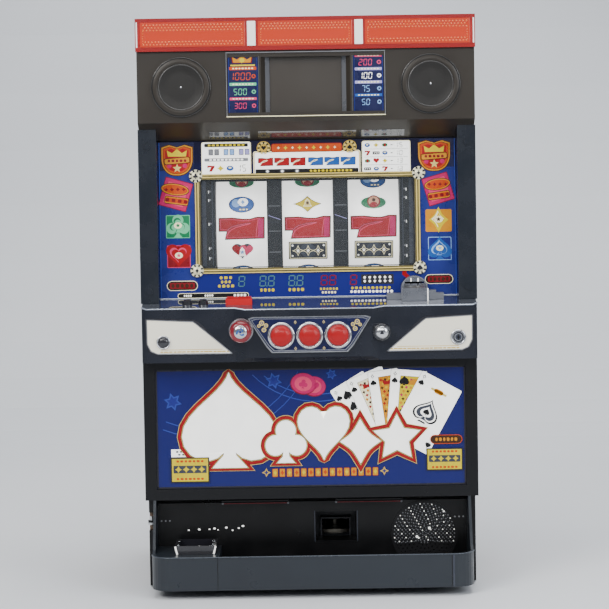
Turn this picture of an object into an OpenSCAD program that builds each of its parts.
/* [Cabinet] */
// Outside width of the cabinet
cab_w = 470; // [450:1:600]
// Outside height of the cabinet
cab_h = 800; // [740:1:980]
// Depth of the cabinet behind the door
cab_d = 330; // [275:1:420]
// Thickness of the side, top, floor and shelf boards
board_t = 15; // [12:1:18]
// Thickness of the back board
back_t = 9; // [6:1:12]

/* [Door] */
// How far the door is wider than the cabinet on each side
door_lap = 2; // [1:0.5:3]
// Thickness of the moulded shells
wall = 3; // [2:0.5:4]
// Gap between the cabinet and the closed door
door_gap = 1.5; // [1:0.5:2]
// Forward face of the door's frame, measured from the cabinet
frame_d = 12; // [12:1:16]

/* [Front] */
// How far the top lamp stands forward
lamp_d = 80; // [70:1:90]
// Height of the top lamp
lamp_h = 46; // [36:1:56]
// How far the speaker housing stands forward
housing_d = 75; // [65:1:85]
// Height of the speaker housing's front
housing_h = 99; // [96:1:120]
// Radius of each speaker's opening
speaker_r = 32; // [24:1:34]
// Height of the control deck's bottom edge
deck_z = 329; // [320:1:340]
// Height of the control deck
deck_h = 87; // [84:1:95]
// How far the middle of the deck stands forward
deck_d = 95; // [90:1:105]
// How far the tray stands forward
tray_d = 115; // [105:1:130]
// Depth of the tray, bottom to rim
tray_h = 47; // [40:1:52]

/* [Reels] */
// Outside radius of a reel
reel_r = 115; // [90:1:115]
// Width of a reel
reel_w = 73; // [60:1:76]
// Distance between the reels' centres
reel_pitch = 95; // [92:1:100]
// Half the width of the reel window
window_x = 152; // [145:1:160]
// Height of the reel window
window_h = 126; // [90:1:130]

/* [Buttons] */
// Radius of a stop button's cap
stop_r = 14.4; // [10:0.1:15]
// Distance between the stop buttons
stop_pitch = 39.6; // [38:0.1:42]
// How far a stop button travels
stop_travel = 4; // [2:0.5:5]
// Radius of the start lever's knob
knob_r = 14; // [8:0.5:15]
// Clearance round a button in its ring
play = 0.35; // [0.2:0.05:0.6]

/* [Hidden] */
$fn = 48;

fit = 0.2;              // gap between pieces that are fixed to each other
run_gap = 0.08;         // running clearance round shafts and pins
eps = 1;                // how far a cutting shape runs past the face it cuts
half_w = cab_w / 2;
inner_x = half_w - board_t;
front_y = -cab_d / 2;
back_y = cab_d / 2;
door_x = half_w + door_lap;
door_top = cab_h + 9;

// Heights of the front's zones, from the bottom and from the top
tray_z = 12.4;
tray_top = tray_z + tray_h;
lower_z = 130;
panel_z = deck_z + deck_h;
lamp_z = door_top - lamp_h;
housing_z = lamp_z - housing_h;
hood_z = housing_z - 24;

// Main panel: it leans back from its foot
panel_d = 38;
panel_lean = 8;
panel_t = 4;
cheek_w = 26;
cheek_d = 60;
panel_x = door_x - cheek_w;
tilt = atan(panel_lean / (hood_z - panel_z));
window_foot = 43;       // from the panel's foot to the window
window_z = panel_z + window_foot;
shroud_t = 4;
chip_r = 8.5;
gold_w = 7.5;

// Hinge at the left edge
hinge_x = -half_w + 3;
hinge_d = 7;
hinge_r = 4.8;
pin_r = 2.5;
hinge_zs = [90, cab_h - 90];
leaf_t = 3;
notch_h = 26;

// Reels
reel_axis_z = window_z + window_h / 2 - 1;
reel_front = 10;        // from the cabinet's front back to the reels
reel_axis_y = front_y + reel_front + reel_r;
reel_band = 2;
divider_t = 2;
divider_x = 40;         // from a reel's centre to its divider
shelf_z = reel_axis_z - reel_r - 31;
shelf_front = 50;
motor_r = 22;
shaft_r = 3;

// Control deck
deck_end = 10;          // how far the deck's ends stay behind its middle
deck_bulge = 88;        // half the width of the deck's forward middle
deck_slope = 13;        // fall of the deck's top, glass to front edge
button_z = deck_z + 37;
stop_xs = [-stop_pitch, 0, stop_pitch];
bezel_r = stop_r + 4.6;
stem_r = stop_r + play + 2;
lever_x = -95.3;
lever_z = deck_z + 45;
lever_pivot = 70;
lever_pin = 14;          // half the length of the lever's pivot pin
return_x = 100.7;
return_z = deck_z + 39.7;
return_r = 8.8;
settle_x = -half_w + 30.6;
settle_z = deck_z + 29.3;
settle_r = 7;
key_x = half_w - 27.4;
key_z = deck_z + 30.7;
key_r = 8;
key_travel = 12;        // how far the key's quarter turn drops the lock bar
bet_d = 62;
bet_xs = [-171.6, -149];
max_bet_x = -98.6;
slot_x = 149;
medal_w = 27;            // width of the way a medal runs through

// Lock bar on the door's rear, and the strike plates that it hooks
bar_back = 5;
bar_t = 3;
hook_zs = [170, cab_h - 150];
lip_back = 15;

// Lower panel, recess, tray
lower_x = door_x - 16.5;
lower_foot = 15.5;
lower_head = 13;
lower_d = 45;
recess_d = 15.2;
recess_knee = 121;
outlet_x = [5, 63];
outlet_z = [64, 106];
grille_x = 161;
grille_z = 72;
grille_r = 48;
hole_step = 5.4;         // from one ring of sound holes to the next
tray_x = half_w - 9;
tray_wall = 4;
tray_corner = 30;
bay_x = -133;
ash_x = [-190, -140];
ash_d = [30, 90];

// Hopper, inside the cabinet's foot
selector_x = [142, 184];
hopper_x = [-60, 120];
hopper_back = [50, 210];
hopper_z = 62;
disc_x = 34;
disc_back = 130;
disc_r = 62;
spout_x = [14, 54];

// ---------- shape helpers: d is measured forward from the cabinet's front ----------
module slab(x0, x1, d0, d1, z0, z1)
  translate([x0, front_y - d1, z0]) cube([x1 - x0, d1 - d0, z1 - z0]);

module peg(x, z, d0, d1, r)
  translate([x, front_y - d0, z]) rotate([90, 0, 0]) cylinder(r = r, h = d1 - d0);

module axle(x0, x1, y, z, r)
  translate([x0, y, z]) rotate([0, 90, 0]) cylinder(r = r, h = x1 - x0);

module side_shape(x0, x1)
  translate([x0, front_y, 0]) rotate([90, 0, 90])
    linear_extrude(x1 - x0) mirror([1, 0]) children();

module face_shape(d0, d1)
  translate([0, front_y - d0, 0]) rotate([90, 0, 0]) linear_extrude(d1 - d0) children();

module plan_shape(z0, z1)
  translate([0, front_y, z0]) linear_extrude(z1 - z0) mirror([0, 1]) children();

module on_panel()
  translate([0, front_y - panel_d, panel_z]) rotate([90 - tilt, 0, 0]) children();

module both_sides() {
  children();
  mirror([1, 0, 0]) children();
}

function deck_top(d) = panel_z - (d - panel_d) * deck_slope / (deck_d - panel_d);
function arc(cx, cy, r, a0, a1, n) =
  [for (i = [0:n]) let (a = a0 + (a1 - a0) * i / n) [cx + r * cos(a), cy + r * sin(a)]];

// ---------- cabinet ----------
floor_hole = [340, 220];  // spacing of the fixing holes in the floor
floor_hole_r = 5;
screw_r = 2;

module side_screws(grow)
  for (z = [board_t / 2, cab_h - board_t / 2], y = [-0.3 * cab_d, 0.3 * cab_d])
    translate([half_w + (grow > 0 ? eps : 1.5), y, z]) rotate([0, -90, 0]) {
      cylinder(r = screw_r + grow, h = board_t + 1.5);
      if (grow == 0) cylinder(r = 2 * screw_r, h = 1.5);
    }

module cabinet_sides() color("#4b3a2c")
  both_sides() difference() {
    translate([inner_x, front_y, 0]) cube([board_t, cab_d, cab_h]);
    side_screws(fit);
  }

module cabinet_top() color("#5a4736")
  translate([-inner_x, front_y, cab_h - board_t]) cube([2 * inner_x, cab_d, board_t]);

module cabinet_floor() color("#5a4736")
  difference() {
    translate([-inner_x, front_y, 0]) cube([2 * inner_x, cab_d, board_t]);
    for (sx = [-1, 1], sy = [-1, 1])
      translate([sx * floor_hole[0] / 2, sy * floor_hole[1] / 2, -eps])
        cylinder(r = floor_hole_r, h = board_t + 2 * eps);
  }

supply_x = 60;
supply_z = [250, 330];
cable_x = -150;
cable_z = 190;
cable_r = 15;

module cabinet_back() color("#6b5643")
  difference() {
    translate([-inner_x, back_y - back_t, board_t])
      cube([2 * inner_x, back_t, cab_h - 2 * board_t]);
    translate([-supply_x, back_y - back_t - eps, supply_z[0]])
      cube([2 * supply_x, back_t + 2 * eps, supply_z[1] - supply_z[0]]);
    translate([cable_x, back_y + eps, cable_z]) rotate([90, 0, 0])
      cylinder(r = cable_r, h = back_t + 2 * eps);
  }

module hinge_bracket(z) {
  // arm in the door's notch, with the pin that the door drops on
  translate([hinge_x, front_y - hinge_d, z]) {
    cylinder(r = hinge_r, h = leaf_t);
    cylinder(r = pin_r, h = leaf_t + 9);
  }
  arm_x = -inner_x + leaf_t + 2;
  slab(hinge_x, arm_x, hinge_d - hinge_r + 0.8, hinge_d + hinge_r - 0.5, z, z + leaf_t);
  slab(-inner_x, arm_x, -45, hinge_d + hinge_r - 0.5, z, z + leaf_t);
  slab(-inner_x, -inner_x + leaf_t, -45, -5, z - 25, z + 25);
}

module strike_plate(z) {
  slab(inner_x - 2, inner_x, -lip_back - 20, -lip_back + 8, z - 25, z + 2);
  slab(inner_x - 18, inner_x - 2, -lip_back, -lip_back + 3, z - 20, z);
}

module cabinet_fittings() color("#b9bcc0") {
  for (z = hinge_zs) hinge_bracket(z);
  for (z = hook_zs) strike_plate(z);
  both_sides() side_screws(0);
  // grommet lining the cable hole
  difference() {
    translate([cable_x, back_y + 2, cable_z]) rotate([90, 0, 0]) {
      cylinder(r = cable_r + 4, h = 2);
      cylinder(r = cable_r - fit, h = back_t + 2);
    }
    translate([cable_x, back_y + 2 + eps, cable_z]) rotate([90, 0, 0])
      cylinder(r = cable_r - 3, h = back_t + 4 + eps);
  }
}

module middle_shelf() color("#5a4736")
  slab(-inner_x, inner_x, -cab_d + back_t, -shelf_front, shelf_z, shelf_z + board_t);

// ---------- reel unit ----------
unit_x = reel_pitch + divider_x + divider_t;
unit_base = shelf_z + board_t;
unit_top = reel_axis_z + reel_r + 5;
unit_back = reel_front + 2 * reel_r + 5;

module reel_unit_frame() color("#8d9196") {
  slab(-unit_x, unit_x, -unit_back, -shelf_front - 2, unit_base, unit_base + divider_t);
  slab(-unit_x, unit_x, -unit_back, -shelf_front - 2, unit_top, unit_top + divider_t);
  for (x = [-unit_x, -reel_pitch + divider_x, divider_x, reel_pitch + divider_x])
    slab(x, x + divider_t, -unit_back, -reel_front - 4, unit_base + divider_t, unit_top);
}

module at_reels()
  for (c = [-1, 0, 1]) translate([c * reel_pitch, 0, 0]) children();

module reel_motors() color("#3c3f44")
  at_reels() {
    axle(18, divider_x, reel_axis_y, reel_axis_z, motor_r);
    axle(-reel_w / 2, 19, reel_axis_y, reel_axis_z, shaft_r);
  }

lamp_back = reel_front + 16;
module reel_lamps() color("#e9ecd8")
  at_reels() {
    slab(-28, divider_x, -lamp_back - 2, -lamp_back, reel_axis_z - 45, reel_axis_z + 45);
    for (z = [-30, 0, 30])
      slab(-20, 20, -lamp_back, -lamp_back + 5, reel_axis_z + z - 9, reel_axis_z + z + 9);
  }

module reel(c) color("#f2f1ec")
  translate([c * reel_pitch - reel_w / 2, reel_axis_y, reel_axis_z]) rotate([0, 90, 0]) {
    // rim with its flange, and the hub
    rotate_extrude() {
      polygon([[reel_r - 14, 0], [reel_r, 0], [reel_r, reel_w], [reel_r - reel_band, reel_w],
        [reel_r - reel_band, 3], [reel_r - 14, 3]]);
      translate([shaft_r + run_gap, 0]) square([9, 6]);
    }
    for (a = [0:72:288]) rotate([0, 0, a])
      translate([8, -6, 0.5]) cube([reel_r - 18, 12, 2]);
  }

module reel_left() reel(-1);
module reel_centre() reel(0);
module reel_right() reel(1);

// ---------- boards and power ----------
case_x = 150;
case_z = [cab_h - 150, cab_h - 25];
case_d = 50;
module main_board_case() color("#c9d4d8", 0.5)
  difference() {
    translate([-case_x, back_y - back_t - case_d, case_z[0]])
      cube([2 * case_x, case_d, case_z[1] - case_z[0]]);
    translate([-case_x + 2, back_y - back_t - case_d + 2, case_z[0] + 2])
      cube([2 * case_x - 4, case_d, case_z[1] - case_z[0] - 4]);
  }

module main_board() color("#1f6b3a") {
  board_y = back_y - back_t - 10;
  translate([-case_x + 8, board_y, case_z[0] + 8])
    cube([2 * case_x - 16, 1.6, case_z[1] - case_z[0] - 16]);
  for (x = [-1, 1], z = [case_z[0] + 14, case_z[1] - 14])
    translate([x * (case_x - 14), back_y - back_t, z]) rotate([90, 0, 0]) cylinder(r = 3, h = 9);
  for (x = [-90, -20, 60])
    translate([x, board_y - 8, case_z[0] + 40]) cube([40, 8, 30]);
}

power_x = [-214, -75];
power_z = 150;
power_back = [60, 200];
rocker_x = -105;
rocker_z = 120;
module power_unit() color("#9a9da1")
  difference() {
    slab(power_x[0], power_x[1], -power_back[1], -power_back[0], board_t, power_z);
    slab(power_x[0] + 2, power_x[1] - 2, -power_back[1] + 2, -power_back[0] - 2,
      board_t + 2, power_z - 2);
    slab(rocker_x - 8, rocker_x + 8, -power_back[0] - 3, -power_back[0] + eps,
      rocker_z - 12, rocker_z + 12);
  }

module power_switch() color("#c8281e")
  intersection() {
    axle(rocker_x - 7.6, rocker_x + 7.6, front_y + power_back[0] + 9, rocker_z, 13.5);
    slab(rocker_x - 8, rocker_x + 8, -power_back[0] - 9, -power_back[0] + 5,
      rocker_z - 9.5, rocker_z + 9.5);
  }

// ---------- hopper ----------
motor_z = board_t + 3;
module hopper_base() color("#55585c") {
  difference() {
    slab(hopper_x[0], hopper_x[1], -hopper_back[1], -hopper_back[0], board_t, hopper_z - 4);
    slab(hopper_x[0] + 2, hopper_x[1] - 2, -hopper_back[1] + 2, -hopper_back[0] - 2,
      motor_z, hopper_z - 7);
    translate([disc_x, front_y + disc_back, board_t]) cylinder(r = 6, h = hopper_z);
  }
  translate([disc_x, front_y + disc_back, motor_z]) {
    cylinder(r = 24, h = hopper_z - motor_z - 9);
    cylinder(r = 4, h = hopper_z - motor_z + 6);
  }
}

module hopper_disc() color("#d9c58a")
  translate([disc_x, front_y + disc_back, hopper_z]) difference() {
    union() {
      cylinder(r = disc_r, h = 5);
      cylinder(r = 10, h = 12);
    }
    translate([0, 0, -eps]) cylinder(r = 4 + run_gap, h = 20);
    for (a = [0:45:315]) rotate([0, 0, a])
      translate([disc_r - 17, 0, -eps]) cylinder(r = 13.5, h = 8);
  }

bin_top = 230;
module hopper_bin() color("#3d6fa8", 0.8) {
  bin_z = hopper_z - 4;
  difference() {
    slab(hopper_x[0], hopper_x[1], -hopper_back[1], -hopper_back[0], bin_z, bin_top);
    slab(hopper_x[0] + 2, hopper_x[1] - 2, -hopper_back[1] + 2, -hopper_back[0] - 2,
      hopper_z + 10, bin_top + eps);
    translate([disc_x, front_y + disc_back, bin_z - eps]) cylinder(r = disc_r + 2, h = 20);
    slab(spout_x[0], spout_x[1], -hopper_back[0] - 40, -hopper_back[0] + eps, hopper_z + 1, 88);
  }
  difference() {
    slab(spout_x[0] - 2, spout_x[1] + 2, -hopper_back[0], -34, hopper_z, 90);
    slab(spout_x[0], spout_x[1], -hopper_back[0] - eps, -34 + eps, hopper_z + 2, 88);
  }
}

over_x = [130, 214];
over_z = 110;
module overflow_box() color("#2c4f86")
  difference() {
    slab(over_x[0], over_x[1], -hopper_back[1], -60, board_t, over_z);
    slab(over_x[0] + 2, over_x[1] - 2, -hopper_back[1] + 2, -62, board_t + 2, over_z + eps);
  }

// ---------- door frame ----------
module door_frame() color("#26272b")
  difference() {
    slab(-half_w, half_w, door_gap, frame_d, 2, door_top - 4);
    slab(-window_x - 8, window_x + 8, 0, frame_d + eps, window_z - 9, window_z + window_h + 11);
    for (z = hinge_zs)
      slab(-half_w - eps, hinge_x + 26, 0, frame_d + eps, z - 8, z + notch_h - 8);
    slab(outlet_x[0] - 3, outlet_x[1] + 3, 0, frame_d + eps, outlet_z[0] - 3, outlet_z[1] + 3);
    slab(slot_x - 17, selector_x[1] - 7, 0, frame_d + eps, panel_z + 12, panel_z + 28);
    peg(key_x, key_z, 0, frame_d + eps, 12);
    peg(grille_x, grille_z, 0, frame_d + eps, grille_r - 3);
  }

module door_hinges() color("#a9acb0")
  for (z = hinge_zs) {
    leaf_z = z + leaf_t + 0.3;
    difference() {
      union() {
        translate([hinge_x, front_y - hinge_d, leaf_z]) cylinder(r = hinge_r, h = leaf_t);
        slab(hinge_x, hinge_x + 26 - fit, hinge_d - hinge_r + 0.8, hinge_d + hinge_r - 0.5,
          leaf_z, leaf_z + leaf_t);
      }
      translate([hinge_x, front_y - hinge_d, leaf_z - eps])
        cylinder(r = pin_r + run_gap, h = leaf_t + 2 * eps);
    }
  }

// ---------- upper housing ----------
housing_x = door_x - 1.5;
speaker_x = housing_x - 61.5;
speaker_z = housing_z + housing_h / 2;
lcd_x = 111;
lcd_z = [housing_z + 7, lamp_z - 5];

module upper_housing() color("#3f3b3b")
  difference() {
    side_shape(-housing_x, housing_x)
      polygon([[frame_d, hood_z], [30, hood_z], [housing_d, housing_z],
        [housing_d, lamp_z], [frame_d, lamp_z]]);
    side_shape(-housing_x + wall, housing_x - wall)
      polygon([[frame_d - eps, hood_z + wall], [30 - 0.8, hood_z + wall],
        [housing_d - wall, housing_z + 1.8], [housing_d - wall, lamp_z - wall],
        [frame_d - eps, lamp_z - wall]]);
    for (x = [-speaker_x, speaker_x]) peg(x, speaker_z, 50, housing_d + eps, speaker_r + 0.5);
    slab(-lcd_x, lcd_x, 50, housing_d + eps, lcd_z[0], lcd_z[1]);
  }

module speakers() color("#2b2a2b")
  for (x = [-speaker_x, speaker_x]) {
    difference() {
      peg(x, speaker_z, housing_d + fit, housing_d + 4, speaker_r + 9);
      peg(x, speaker_z, housing_d, housing_d + 4 + eps, speaker_r);
    }
    // cone, basket and magnet behind the ring
    difference() {
      peg(x, speaker_z, 45, housing_d + fit + 0.5, speaker_r + 0.3);
      translate([x, front_y - 60, speaker_z]) rotate([90, 0, 0])
        cylinder(r1 = 8, r2 = speaker_r - 2, h = housing_d - 59);
    }
    peg(x, speaker_z, 25, 45, speaker_r * 0.6);
  }

display_x = 50;
display_z = [lcd_z[0] + 6, lcd_z[1] - 4];
info_x = [66, 109];
module display_bezel() color("#34343a")
  difference() {
    slab(-lcd_x + fit, lcd_x - fit, 60, housing_d + 1, lcd_z[0] + fit, lcd_z[1] - fit);
    slab(-display_x, display_x, 60 - eps, housing_d + 2, display_z[0], display_z[1]);
    both_sides() {
      slab(info_x[0], info_x[1], 70, housing_d + 2, display_z[0], display_z[1]);
      face_wedge();
    }
  }

// flared side of the display's surround
module face_wedge()
  plan_shape(display_z[0], display_z[1])
    polygon([[display_x - eps, 64], [display_x - eps, housing_d + 2],
      [info_x[0] - 3, housing_d + 2], [display_x + 2, 64]]);

module display_screen() color("#4e4a48") {
  slab(-display_x + fit, display_x - fit, 52, 64, display_z[0] + fit, display_z[1] - fit);
  slab(-display_x - 8, display_x + 8, 30, 52, display_z[0] - 4, display_z[1] + 2);
  both_sides()
    slab(info_x[0] + fit, info_x[1] - fit, 70.2, 74, display_z[0] + fit, display_z[1] - fit);
}

module lamp_lens() color("#e0401c", 0.75) {
  lens_x = door_x - 0.5;
  difference() {
    slab(-lens_x, lens_x, frame_d, lamp_d, lamp_z + fit, door_top);
    slab(-lens_x + wall, lens_x - wall, frame_d - eps, lamp_d - wall,
      lamp_z + wall, door_top - wall);
  }
}

module lamp_board() color("#2c6b3c") {
  board_z = (lamp_z + door_top) / 2;
  slab(-housing_x + 12, housing_x - 12, frame_d, frame_d + 2, board_z - 12, board_z + 12);
  for (i = [-7:7])
    slab(i * 28 - 3, i * 28 + 3, frame_d + 2, frame_d + 5, board_z - 3, board_z + 3);
}

// ---------- glass front ----------
module glass_cheeks() color("#2a3138")
  both_sides() {
    top_d = cheek_d;
    top_z = hood_z + (top_d - 30) * (housing_z - hood_z) / (housing_d - 30);
    difference() {
      side_shape(panel_x + fit, door_x)
        polygon([[frame_d, panel_z + fit], [panel_d, panel_z + fit],
          [top_d, deck_top(top_d) + fit], [top_d, top_z - fit], [30, hood_z - fit],
          [frame_d, hood_z - fit]]);
      side_shape(panel_x + wall, door_x - wall)
        polygon([[frame_d - eps, panel_z + wall], [top_d - wall, panel_z + wall],
          [top_d - wall, hood_z - wall], [frame_d - eps, hood_z - wall]]);
    }
    for (z = [panel_z + 12, hood_z - 8])
      peg(door_x - cheek_w / 2, z, top_d, top_d + 2, 4);
  }

panel_len = (hood_z - panel_z) / cos(tilt);
window_y = [window_foot, window_foot + window_h];
module main_panel() color("#3340a6")
  on_panel() difference() {
    translate([-panel_x, fit, -panel_t]) cube([2 * panel_x, panel_len - 1, panel_t]);
    translate([-window_x, window_y[0], -panel_t - eps])
      cube([2 * window_x, window_h, panel_t + 2 * eps]);
    translate([slot_x - medal_w / 2 - 1, 15, -panel_t - eps])
      cube([medal_w + 2, 10, panel_t + 2 * eps]);
  }

module reel_glass() color("#cfe0e8", 0.3)
  on_panel() translate([-window_x + fit, window_y[0] + fit, -panel_t + 0.5])
    cube([2 * window_x - 2 * fit, window_h - 2 * fit, 3]);

module gold_frame() color("#d9c27a")
  on_panel() {
    difference() {
      translate([-window_x - gold_w, window_y[0] - gold_w, 0])
        cube([2 * (window_x + gold_w), window_h + 2 * gold_w, 2]);
      translate([-window_x, window_y[0], -eps]) cube([2 * window_x, window_h, 2 + 2 * eps]);
      for (sx = [-1, 1], y = window_y) translate([sx * (window_x + 6), y + (y > 100 ? 5 : -3), -eps])
        cylinder(r = chip_r - 1, h = 5);
    }
    for (sx = [-1, 1], y = window_y)
      translate([sx * (window_x + 6), y + (y > 100 ? 5 : -3), 0]) cylinder(r = chip_r, h = 3);
  }

function panel_rear(z) = panel_d - panel_t / cos(tilt) - 0.2 - (z - panel_z) * tan(tilt);
module reel_shroud() color("#17171a") {
  low = window_z - 2;
  high = window_z + window_h;
  difference() {
    side_shape(-window_x - shroud_t, window_x + shroud_t)
      polygon([[2, low - shroud_t], [panel_rear(low - shroud_t), low - shroud_t],
        [panel_rear(high + shroud_t), high + shroud_t], [2, high + shroud_t]]);
    slab(-window_x - 0.5, window_x + 0.5, 0, panel_d + eps, low, high);
  }
}

digit_zs = [panel_z + 9, panel_z + 34];
module credit_display() color("#20242a") {
  z0 = digit_zs[0];
  z1 = digit_zs[1];
  slab(-122, 122, frame_d, frame_d + 10, z0 + 4, z1 - 4);
  for (x = [-95, -45, 5, 55, 105]) slab(x - 12, x + 12, frame_d + 10, 32.6, z0 + 6, z1 - 6);
}

// ---------- control deck ----------
function deck_plan(t) = [
  [-half_w + t, frame_d - (t > 0 ? eps : 0)], [-half_w + t, deck_d - 17 - t / 2],
  [-half_w + 7 + t / 2, deck_d - deck_end - t], [-deck_bulge - 16 + t / 3, deck_d - deck_end - t],
  [-deck_bulge + t / 3, deck_d - t], [deck_bulge - t / 3, deck_d - t],
  [deck_bulge + 16 - t / 3, deck_d - deck_end - t], [half_w - 7 - t / 2, deck_d - deck_end - t],
  [half_w - t, deck_d - 17 - t / 2], [half_w - t, frame_d - (t > 0 ? eps : 0)]];

module deck_body(t)
  intersection() {
    plan_shape(deck_z - eps, panel_z + eps) polygon(deck_plan(t));
    side_shape(-half_w - eps, half_w + eps)
      polygon([[frame_d - eps, deck_z + t], [deck_d - 7 - t / 2, deck_z + t],
        [deck_d + 2 - t, deck_z + 8 + t / 2], [deck_d + 2 - t, deck_top(deck_d) - 4 - t / 2],
        [deck_d - 1 - t, deck_top(deck_d) - t], [panel_d, panel_z - t], [frame_d - eps, panel_z - t]]);
  }

module front_holes(grow) {
  for (x = stop_xs) peg(x, button_z, 60, deck_d + 8, stem_r + grow);
  peg(lever_x, lever_z, 60, deck_d + 8, knob_r + 3 + grow);
  peg(return_x, return_z, 60, deck_d + 8, return_r + 3 + grow);
  peg(settle_x, settle_z, 60, deck_d + 8, settle_r + 2.4 + grow);
  peg(key_x, key_z, 60, deck_d + 8, key_r + 3 + grow);
}

bet_r = 7;
max_bet_w = 37;
max_bet_l = 20;
module deck() color("#34404f")
  difference() {
    deck_body(0);
    deck_body(wall);
    front_holes(fit);
    for (x = bet_xs) translate([x, front_y - bet_d, deck_z + 40]) cylinder(r = bet_r + play, h = 60);
    slab(max_bet_x - max_bet_w / 2 - play, max_bet_x + max_bet_w / 2 + play,
      bet_d - max_bet_l / 2 - play, bet_d + max_bet_l / 2 + play, deck_z + 40, panel_z + 5);
  }

module deck_inlays() color("#c9c3b2")
  difference() {
    both_sides()
      face_shape(deck_d - deck_end, deck_d - deck_end + 2)
        polygon([[deck_bulge + 20.5, deck_z + 12.5], [half_w - 22, deck_z + 13],
          [half_w - 13, deck_z + 17], [half_w - 8, deck_z + 27], [half_w - 7.5, deck_z + 61],
          [half_w - 72, deck_z + 57.5], [half_w - 77, deck_z + 54]]);
    front_holes(fit);
  }

module stop_panel() color("#20285c")
  difference() {
    face_shape(deck_d, deck_d + 3)
      polygon([[-85.7, deck_z + 61.3], [-61, deck_z + 22], [-53, deck_z + 13], [53, deck_z + 13],
        [61, deck_z + 22], [85.7, deck_z + 61.3], [79, deck_z + 63.5], [-79, deck_z + 63.5]]);
    front_holes(fit);
  }

board_front = 73;
module bezels() color("#b8babd") {
  for (x = stop_xs)
    difference() {
      union() {
        peg(x, button_z, deck_d + 3 + fit, deck_d + 7, bezel_r);
        peg(x, button_z, board_front, deck_d + 4, stem_r);
      }
      peg(x, button_z, board_front - eps, deck_d + 10, stop_r + play);
    }
  difference() {
    peg(lever_x, lever_z, lever_pivot - 13, deck_d + 4, knob_r + 3);
    peg(lever_x, lever_z, lever_pivot - 11, deck_d + 6, 11);
    axle(lever_x - lever_pin - 0.5, lever_x + lever_pin + 0.5, front_y - lever_pivot, lever_z,
      pin_r + run_gap);
  }
  difference() {
    peg(return_x, return_z, 72, deck_d + 2, return_r + 3);
    peg(return_x, return_z, 74, deck_d + 4, return_r + play);
  }
  difference() {
    peg(settle_x, settle_z, 68, deck_d - deck_end + 5, settle_r + 2.4);
    peg(settle_x, settle_z, 70, deck_d, settle_r + play);
  }
  difference() {
    peg(key_x, key_z, frame_d, deck_d - deck_end + 4, key_r + 3);
    peg(key_x, key_z, frame_d - eps, deck_d, key_r + play);
  }
}

module switch_board() color("#236b3b") {
  slab(-stop_pitch - 22, stop_pitch + 22, board_front - 2, board_front,
    button_z - 20, button_z + 20);
  for (x = stop_xs) peg(x, button_z, board_front, board_front + 3, 6);
}

// ---------- moving controls ----------
module stop_button(x) color("#c3161c")
  difference() {
    union() {
      peg(x, button_z, board_front + 3.4 + stop_travel, deck_d + 9, stop_r);
      peg(x, button_z, deck_d + 8, deck_d + 10.5, stop_r - 2);
    }
    peg(x, button_z, board_front, board_front + 18, stop_r - 3);
  }

module stop_button_left() stop_button(stop_xs[0]);
module stop_button_centre() stop_button(stop_xs[1]);
module stop_button_right() stop_button(stop_xs[2]);

module start_lever() color("#c9cbce") {
  axle(lever_x - lever_pin, lever_x + lever_pin, front_y - lever_pivot, lever_z, pin_r);
  translate([lever_x, front_y - lever_pivot, lever_z]) rotate([90, 0, 0]) {
    sphere(r = 10.6);
    cylinder(r = 3.5, h = 52);
    translate([0, 0, 48]) cylinder(r1 = 8, r2 = knob_r, h = 4);
    translate([0, 0, 52]) cylinder(r = knob_r, h = 6);
    translate([0, 0, 58]) cylinder(r1 = knob_r, r2 = knob_r - 4, h = 4);
  }
}

module max_bet_button() color("#c9241f") {
  top = deck_top(bet_d);
  slab(max_bet_x - max_bet_w / 2, max_bet_x + max_bet_w / 2,
    bet_d - max_bet_l / 2, bet_d + max_bet_l / 2, top - 12, top + 7);
}

module bet_button(x) color("#1d2026")
  translate([x, front_y - bet_d, deck_top(bet_d) - 12]) {
    cylinder(r = bet_r, h = 16);
    translate([0, 0, 16]) cylinder(r1 = bet_r, r2 = bet_r - 2, h = 1.5);
  }
module bet_1_button() bet_button(bet_xs[0]);
module bet_2_button() bet_button(bet_xs[1]);

module return_button() color("#c4c6c9") {
  peg(return_x, return_z, 80, deck_d + 5, return_r);
  peg(return_x, return_z, deck_d + 5, deck_d + 6, return_r - 2);
}

module settle_button() color("#17181b")
  peg(settle_x, settle_z, 74, deck_d - deck_end + 6.5, settle_r);

module key_cylinder() color("#b4b7ba") {
  difference() {
    peg(key_x, key_z, frame_d + 2, deck_d - deck_end + 5.5, key_r);
    slab(key_x - 1, key_x + 1, deck_d - deck_end, deck_d, key_z - 4, key_z + 4);
  }
  peg(key_x, key_z, -2, frame_d + 3, 4);
  // cam behind the door, with the pin that drops the lock bar
  hull() {
    peg(key_x, key_z, -2, 1, 6);
    peg(key_x - key_travel, key_z, -2, 1, 4);
  }
  peg(key_x - key_travel, key_z, -bar_back - bar_t - 0.5, -1, 2.5);
}

module lock_bar() color("#a4a7ab") {
  bar0 = -bar_back - bar_t;
  difference() {
    union() {
      slab(key_x - 7.6, key_x + 4.4, bar0, -bar_back, hook_zs[0] - 40, hook_zs[1] + 40);
      slab(key_x - 20, key_x + 8, bar0, -bar_back, key_z - 14, key_z + 14);
    }
    slab(key_x - key_travel - 3, key_x + 3, bar0 - eps, 0, key_z - 5.3, key_z + 5.3);
  }
  for (z = hook_zs) {
    slab(key_x - 4, key_x + 2, -lip_back - 9, bar0, z + 14, z + 22);
    slab(key_x - 4, key_x + 2, -lip_back - 9, -lip_back - 3, z + 2, z + 15);
  }
}

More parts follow.
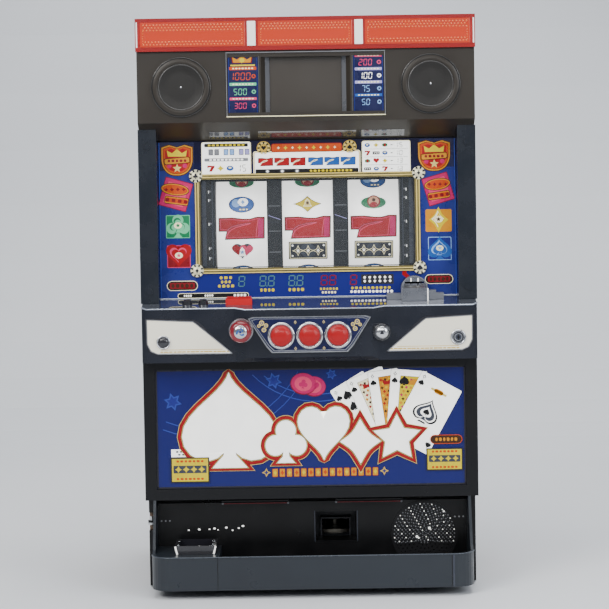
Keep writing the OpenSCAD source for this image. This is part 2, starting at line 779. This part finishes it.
// ---------- medals ----------
module medal_slot_block() color("#a3a7ad") {
  back = panel_d + 2;
  foot = panel_z + 12;
  // body with a low step at each side, on the deck's sloping top
  intersection() {
    union() {
      slab(slot_x - 19, slot_x + 19, back, 66, deck_z, foot);
      slab(slot_x - 39, slot_x + 41, back, 58, deck_z, panel_z + 5);
      slab(slot_x + 18, slot_x + 30, back, 62, deck_z, panel_z + 9);
    }
    side_shape(slot_x - 50, slot_x + 50)
      polygon([[back - eps, deck_top(back - eps) + fit], [70, deck_top(70) + fit],
        [70, foot + eps], [back - eps, foot + eps]]);
  }
  // hood with the slot, its ramp and two guide ribs
  difference() {
    union() {
      intersection() {
        translate([slot_x, front_y - back, foot - eps]) rotate([90, 0, 0])
          scale([19, 17 + eps, 1]) cylinder(r = 1, h = 16);
        slab(slot_x - 20, slot_x + 20, 0, 100, foot - eps, foot + 20);
      }
      side_shape(slot_x - medal_w / 2 - 1, slot_x + medal_w / 2 + 1)
        polygon([[50, foot - eps], [66, foot - eps], [66, foot], [57, foot + 6], [50, foot + 6]]);
    }
    slab(slot_x - medal_w / 2, slot_x + medal_w / 2, back - eps, 90, foot + 6, foot + 8.6);
  }
  for (x = [slot_x - 5, slot_x + 5]) slab(x - 1, x + 1, 55, 59, foot + 8.8, foot + 14);
}

module medal_selector() color("#45484d") {
  low = panel_z + 16;
  high = panel_z + 24;
  way_end = selector_x[1] - 11;
  difference() {
    union() {
      slab(selector_x[0], selector_x[1], -38, door_gap - fit, shelf_z + 10, panel_z + 30);
      slab(slot_x - 16, selector_x[1] - 8, door_gap - fit - eps, 32.5, low - 3, high + 3);
    }
    // the medal's way in, across to the right and down
    slab(slot_x - medal_w / 2, slot_x + medal_w / 2, 20, 40, low, high);
    slab(slot_x - medal_w / 2, way_end, 4, 29.5, low, high);
    slab(selector_x[0] + 3, way_end, -20, 29.5, low, high);
    slab(selector_x[0] + 3, way_end, -20, -12, shelf_z, high);
  }
}

module medal_chutes() color("#6a6e73") {
  // sloping channel from the selector to the hopper
  low = bin_top + 12;
  difference() {
    face_shape(-36, door_gap - fit)
      polygon([[selector_x[0], shelf_z + 9.8], [selector_x[1], shelf_z + 9.8],
        [selector_x[1], shelf_z - 12], [70, low], [30, low],
        [30, low + 25]]);
    face_shape(-34, -2)
      polygon([[selector_x[0] + 3, shelf_z + 12], [selector_x[1] - 3, shelf_z + 12],
        [selector_x[1] - 3, shelf_z - 10], [70, low + 3],
        [33, low + 3], [33, low + 22]]);
    slab(36, 66, -40, -30, low + 3, low + 18);
  }
  // channel that pays medals out into the tray
  difference() {
    slab(outlet_x[0] - 2, outlet_x[1] + 2, -30, recess_d, outlet_z[0] - 2, outlet_z[1] + 2);
    slab(outlet_x[0], outlet_x[1], -30 - eps, recess_d + eps, outlet_z[0], outlet_z[1]);
  }
}

// ---------- lower front ----------
lower_top = deck_z - lower_head;
module lower_frame() color("#1b1c20")
  difference() {
    slab(-door_x, door_x, frame_d, lower_d, lower_z, deck_z - fit);
    slab(-lower_x, lower_x, 0, lower_d + eps, lower_z + lower_foot, lower_top);
  }

module lower_panel() color("#2b3ca6")
  slab(-lower_x + fit, lower_x - fit, lower_d - 9, lower_d - 5, lower_z + lower_foot + fit,
    lower_top - fit);

module tube_light() color("#f4f3ea") {
  tube_z = (lower_z + deck_z) / 2;
  axle(-lower_x + 20, lower_x - 20, front_y - 24, tube_z, 8);
  both_sides()
    slab(lower_x - 20, lower_x - 12, frame_d, 33, tube_z - 10, tube_z + 10);
}

wing_x = tray_x - tray_wall;
strip_x = [34, 129];
module recess_wall() color("#16171a") {
  difference() {
    side_shape(-wing_x + fit, wing_x - fit)
      polygon([[frame_d + fit, tray_z + 1.6], [recess_d, tray_z + 1.6], [recess_d, recess_knee],
        [37, lower_z - fit], [33, lower_z - fit], [frame_d + fit, recess_knee + 2]]);
    slab(outlet_x[0] - 2 - fit, outlet_x[1] + 2 + fit, 0, 60, outlet_z[0] - 2 - fit,
      outlet_z[1] + 2 + fit);
    peg(grille_x, grille_z, 0, recess_d + eps, grille_r - 4);
  }
  // two lit strips under the lower frame
  both_sides()
    axle(strip_x[0], strip_x[1], front_y - 35, lower_z - 4, 2.5);
}

module speaker_grille() color("#2a2b2e") {
  difference() {
    peg(grille_x, grille_z, recess_d, recess_d + 1.5, grille_r);
    for (ring = [1:8], i = [0:6 * ring - 1])
      peg(grille_x + hole_step * ring * cos(60 * i / ring),
        grille_z + hole_step * ring * sin(60 * i / ring), recess_d - eps, recess_d + 3, 1.1);
  }
  // the speaker's basket and magnet
  difference() {
    peg(grille_x, grille_z, -8, recess_d, grille_r - 4 - fit);
    peg(grille_x, grille_z, 2, recess_d + eps, grille_r - 7);
  }
  peg(grille_x, grille_z, -24, -8, 22);
}

function tray_plan(t) = concat(
  [[-tray_x + t, recess_d + fit]],
  arc(-tray_x + tray_corner, tray_d - tray_corner, tray_corner - t, 180, 90, 8),
  arc(tray_x - tray_corner, tray_d - tray_corner, tray_corner - t, 90, 0, 8),
  [[tray_x - t, recess_d + fit]]);

module tray() color("#3a4048") {
  difference() {
    plan_shape(tray_z, tray_top) polygon(tray_plan(0));
    difference() {
      plan_shape(tray_z + tray_wall, tray_top + eps) polygon(tray_plan(tray_wall));
      // divider and the shelf that carries the ashtray
      slab(bay_x - 2, bay_x + 2, 0, tray_d, 0, tray_top);
      difference() {
        slab(-half_w, bay_x, 0, tray_d, tray_top - 3.4, tray_top);
        slab(ash_x[0], ash_x[1], ash_d[0], ash_d[1], 0, cab_h);
      }
    }
  }
  both_sides()
    side_shape(wing_x, tray_x)
      polygon([[frame_d, tray_z], [recess_d + 1, tray_z], [recess_d + 1, tray_top - 1],
        [85, tray_top - 1], [75, tray_top + 5], [lower_d, lower_z - fit], [frame_d, lower_z - fit]]);
}

module ashtray() color("#2c2d30") {
  play_round = 0.5;
  skin = 3;
  seat = tray_top + fit;
  brim = seat + 12;
  flare = 4;
  difference() {
    union() {
      slab(ash_x[0] + play_round, ash_x[1] - play_round, ash_d[0] + play_round,
        ash_d[1] - play_round, tray_z + 10, seat + eps);
      face_shape(ash_d[0], ash_d[1])
        polygon([[ash_x[0] - 2, seat], [ash_x[1] + 2, seat], [ash_x[1] + flare, brim],
          [ash_x[0] - flare, brim]]);
    }
    slab(ash_x[0] + skin, ash_x[1] - skin, ash_d[0] + skin, ash_d[1] - skin, tray_z + 12,
      seat + 0.1);
    face_shape(ash_d[0] + skin, ash_d[1] - skin)
      polygon([[ash_x[0] + skin, seat], [ash_x[1] - skin, seat], [ash_x[1] + flare - skin, brim + eps],
        [ash_x[0] - flare + skin, brim + eps]]);
  }
}

cabinet_sides();
cabinet_top();
cabinet_floor();
cabinet_back();
cabinet_fittings();
middle_shelf();
reel_unit_frame();
reel_motors();
reel_lamps();
main_board_case();
main_board();
power_unit();
hopper_base();
hopper_bin();
overflow_box();
power_switch();
hopper_disc();
reel_left();
reel_centre();
reel_right();
door_frame();
door_hinges();
upper_housing();
lamp_lens();
lamp_board();
speakers();
display_bezel();
display_screen();
glass_cheeks();
main_panel();
reel_glass();
gold_frame();
reel_shroud();
credit_display();
deck();
deck_inlays();
stop_panel();
bezels();
switch_board();
medal_slot_block();
medal_selector();
medal_chutes();
lower_frame();
lower_panel();
tube_light();
recess_wall();
speaker_grille();
tray();
stop_button_left();
stop_button_centre();
stop_button_right();
start_lever();
max_bet_button();
bet_1_button();
bet_2_button();
return_button();
settle_button();
key_cylinder();
lock_bar();
ashtray();
